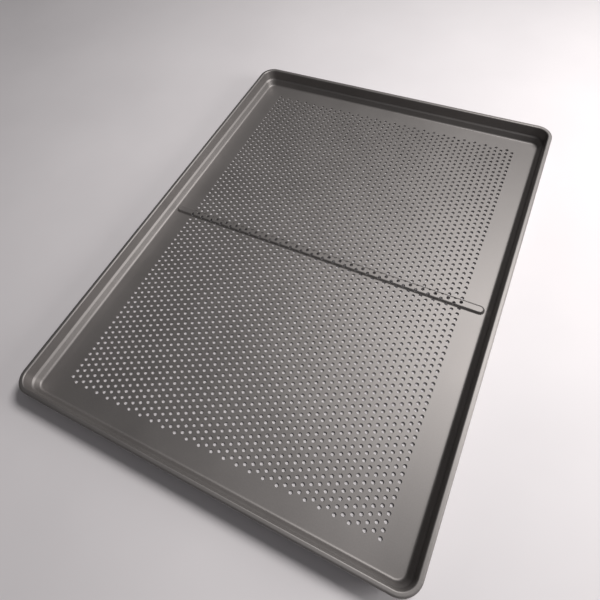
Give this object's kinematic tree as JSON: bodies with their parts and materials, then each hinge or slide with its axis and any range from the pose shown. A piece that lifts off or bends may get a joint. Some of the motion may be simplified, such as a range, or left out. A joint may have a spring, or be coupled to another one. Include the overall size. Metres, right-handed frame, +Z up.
{
  "type": "perforated baking tray",
  "caption": "Flat rectangular baking tray of coated sheet metal with a perforated floor, a raised cross rib, a low stepped wall and a rolled, wired rim.",
  "frame": {"origin": "on the resting plane, under the centre of the tray", "axes": "+Z up, +Y along the long sides, +X across the tray along the short sides and the rib"},
  "size_m": [0.3, 0.4, 0.016],
  "materials": {
    "non_stick_sheet": "satin",
    "galvanised_wire": "satin"
  },
  "bodies": {
    "root": {"pan_sheet": "non_stick_sheet", "rim_wire": "galvanised_wire"}
  },
  "joints": []
}
